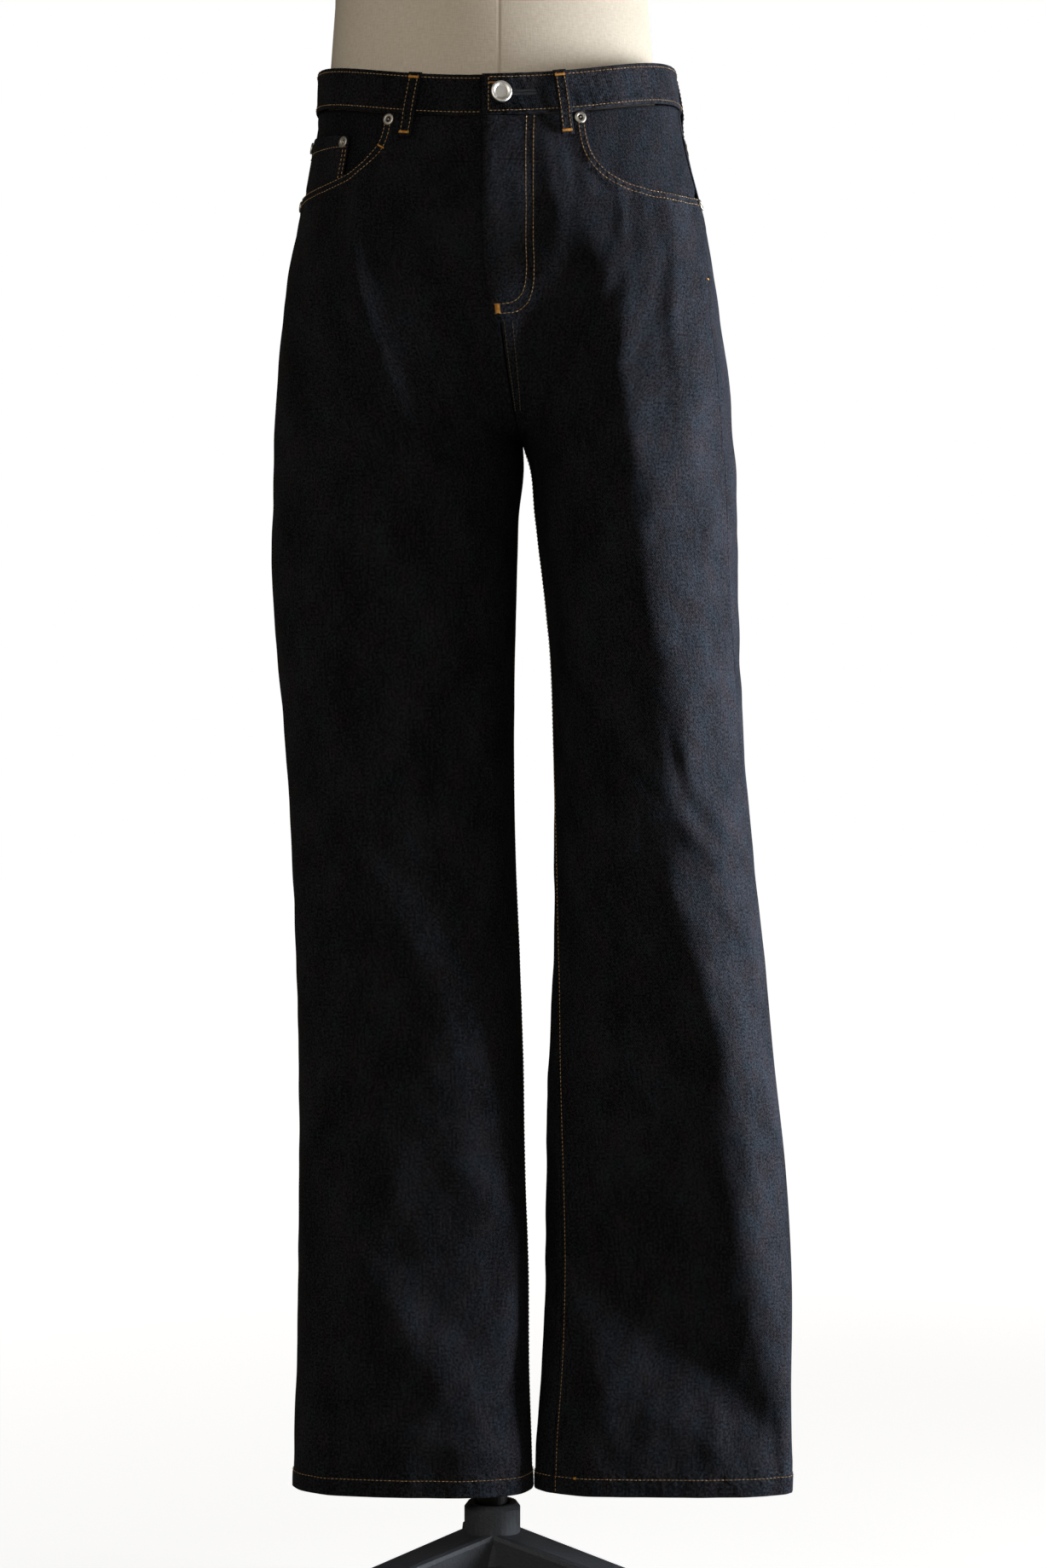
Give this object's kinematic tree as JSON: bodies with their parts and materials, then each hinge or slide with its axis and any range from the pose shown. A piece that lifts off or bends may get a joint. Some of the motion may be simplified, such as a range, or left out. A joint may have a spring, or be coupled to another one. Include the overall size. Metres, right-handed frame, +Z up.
{
  "type": "relaxed fit jeans on a limbless dress form and stand",
  "caption": "Relaxed fit jeans in raw denim with scooped front pockets, patch back pockets and belt loops, worn by a limbless dress form on a low cast stand.",
  "frame": {"origin": "the middle of the whole part's box, on the floor", "axes": "+Z up, -Y the way the jeans face, +X the wearer's left"},
  "size_m": [0.523, 0.4882, 1.8843],
  "materials": {
    "raw_denim": "unwashed indigo twill, dry, with a slight sheen across the folds",
    "raw_denim_facing": "the same twill behind the pocket openings",
    "topstitch_thread": "tobacco and gold cotton topstitching thread",
    "nickel_trim": "nickel plate, satin",
    "button_metal": "silver-coloured plate, satin",
    "linen_cover": "plain woven ecru linen over padding",
    "painted_steel": "black enamel, semi-gloss",
    "cast_iron": "sand-cast, painted blue-black, matt"
  },
  "bodies": {
    "root": {"front_right": "raw_denim", "front_left": "raw_denim", "back_right": "raw_denim", "back_left": "raw_denim", "yoke_right": "raw_denim", "yoke_left": "raw_denim", "waistband": "raw_denim", "pocket_facing_right": "raw_denim_facing", "pocket_facing_left": "raw_denim_facing", "coin_pocket": "raw_denim", "back_pocket_right": "raw_denim", "back_pocket_left": "raw_denim", "belt_loop_front_left": "raw_denim", "belt_loop_side_left": "raw_denim", "belt_loop_centre_back": "raw_denim", "belt_loop_side_right": "raw_denim", "belt_loop_front_right": "raw_denim", "waist_button": "button_metal", "rivet_scoop_top_right": "nickel_trim", "rivet_scoop_top_left": "nickel_trim", "rivet_scoop_side_right": "nickel_trim", "rivet_scoop_side_left": "nickel_trim", "rivet_coin_front": "nickel_trim", "rivet_coin_side": "nickel_trim", "dress_form": "linen_cover", "neck_plate": "painted_steel", "pole": "painted_steel", "stand_base": "cast_iron"}
  },
  "joints": []
}
